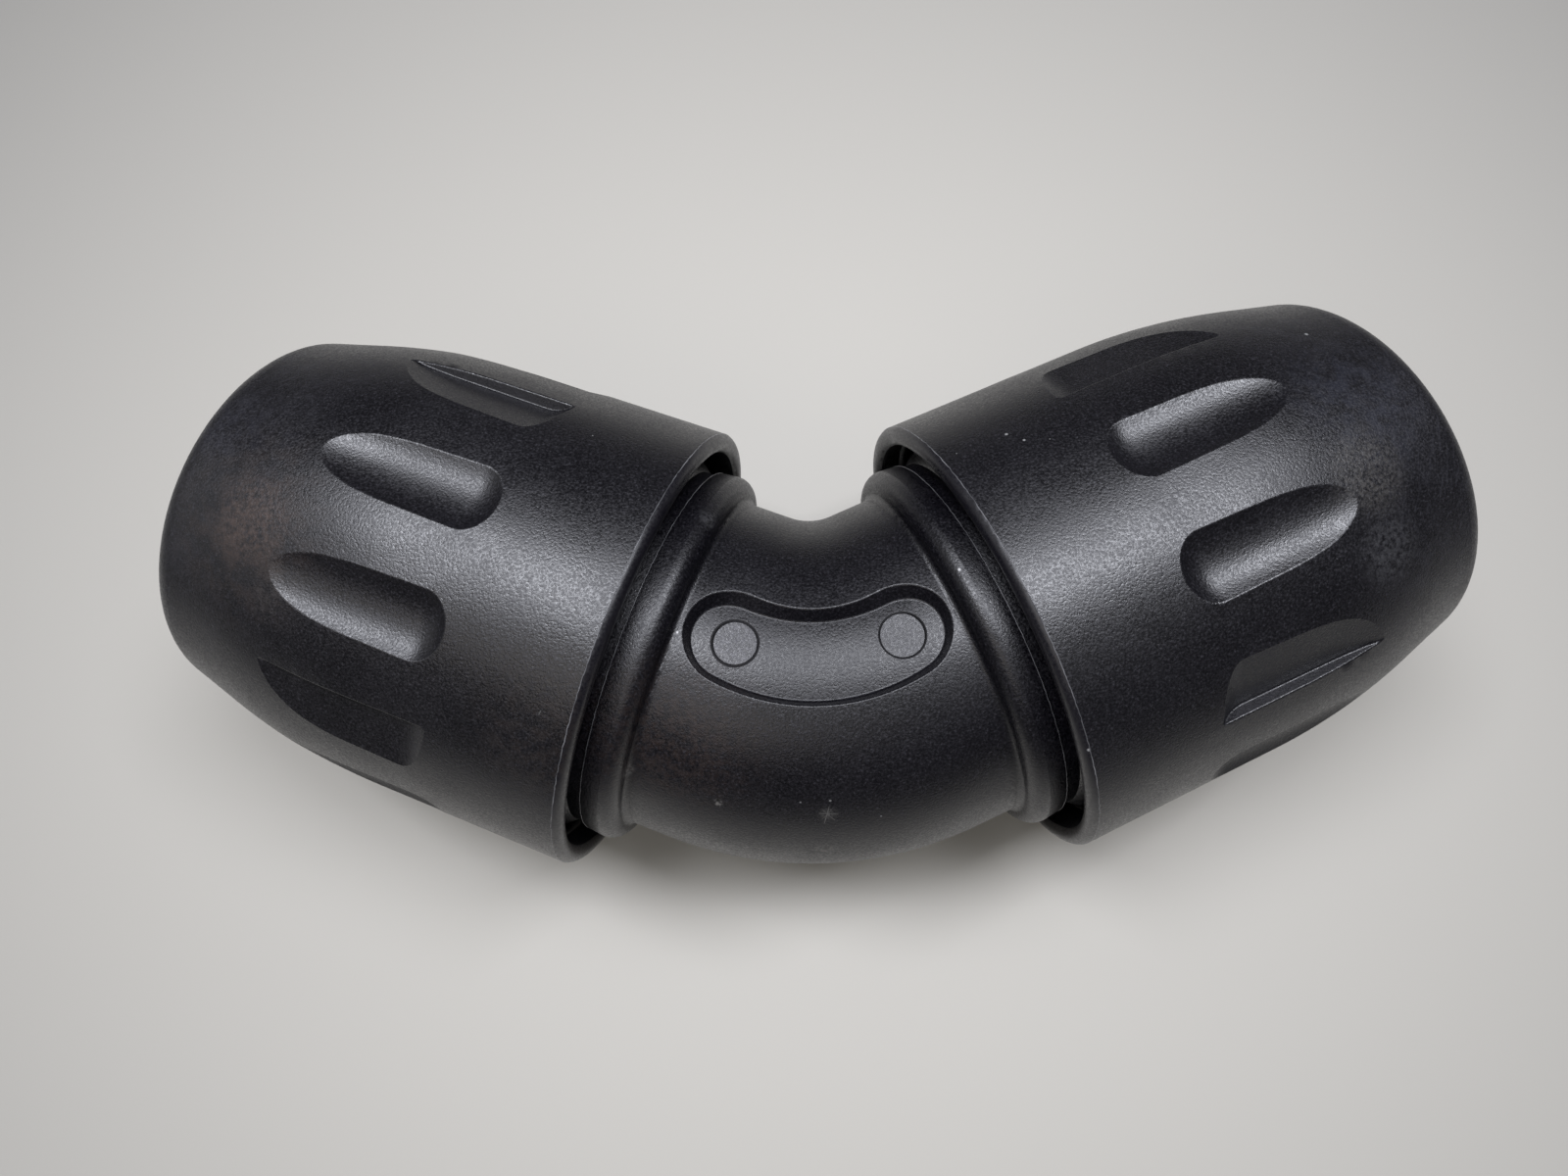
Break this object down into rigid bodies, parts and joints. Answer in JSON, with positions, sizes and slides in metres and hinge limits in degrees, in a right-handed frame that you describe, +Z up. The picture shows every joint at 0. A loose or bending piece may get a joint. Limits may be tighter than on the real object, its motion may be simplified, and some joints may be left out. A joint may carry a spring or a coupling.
{
  "type": "push-fit elbow",
  "caption": "Short black moulded 45 degree pipe elbow with a large tapered coupling nut on each end. The nuts have finger grips around them and hold the sealing and gripping rings.",
  "frame": {"origin": "centre of the whole fitting's box: level with both leg axes, midway between the two pipe ends, 24.8 mm from the crossing of the leg axes towards the inside of the bend", "axes": "+X from the left pipe end to the right one, +Y from the outside of the bend to its inside, +Z up, square to both leg axes"},
  "size_m": [0.2524, 0.1111, 0.092],
  "materials": {
    "body_nylon": "satin, fine moulded grain",
    "nut_nylon": "satin, fine moulded grain",
    "white_acetal": "smooth",
    "grip_steel": "pressed",
    "seal_rubber": "smooth"
  },
  "bodies": {
    "fitting": {"elbow_body": "body_nylon", "seal_ring_left": "seal_rubber", "seal_ring_right": "seal_rubber", "seal_backing_ring_left": "body_nylon", "seal_backing_ring_right": "body_nylon"},
    "ring_pack_left": {"thrust_washer_left": "white_acetal", "grip_ring_left": "grip_steel", "clamp_ring_left": "white_acetal", "slip_washer_left": "white_acetal"},
    "nut_left": {"coupling_nut_left": "nut_nylon"},
    "ring_pack_right": {"thrust_washer_right": "white_acetal", "grip_ring_right": "grip_steel", "clamp_ring_right": "white_acetal", "slip_washer_right": "white_acetal"},
    "nut_right": {"coupling_nut_right": "nut_nylon"}
  },
  "joints": [
    {"name": "nut_travel_left", "type": "slide", "parent": "fitting", "child": "ring_pack_left", "axis": [-0.9239, 0.3827, 0], "range_m": [-0.0051, 0.0076]},
    {"name": "nut_turn_left", "type": "hinge", "parent": "ring_pack_left", "child": "nut_left", "pos_m": [-0.07299, 0.00543, 0], "axis": [-0.9239, 0.3827, 0], "range_deg": [-360, 540]},
    {"name": "nut_travel_right", "type": "slide", "parent": "fitting", "child": "ring_pack_right", "axis": [0.9239, 0.3827, 0], "range_m": [-0.0051, 0.0076]},
    {"name": "nut_turn_right", "type": "hinge", "parent": "ring_pack_right", "child": "nut_right", "pos_m": [0.07299, 0.00543, 0], "axis": [0.9239, 0.3827, 0], "range_deg": [-360, 540]}
  ],
  "couplings": [
    {"joint": "nut_travel_left", "follows": "nut_turn_left", "m_per_rad": 0.00079577},
    {"joint": "nut_travel_right", "follows": "nut_turn_right", "m_per_rad": 0.00079577}
  ]
}
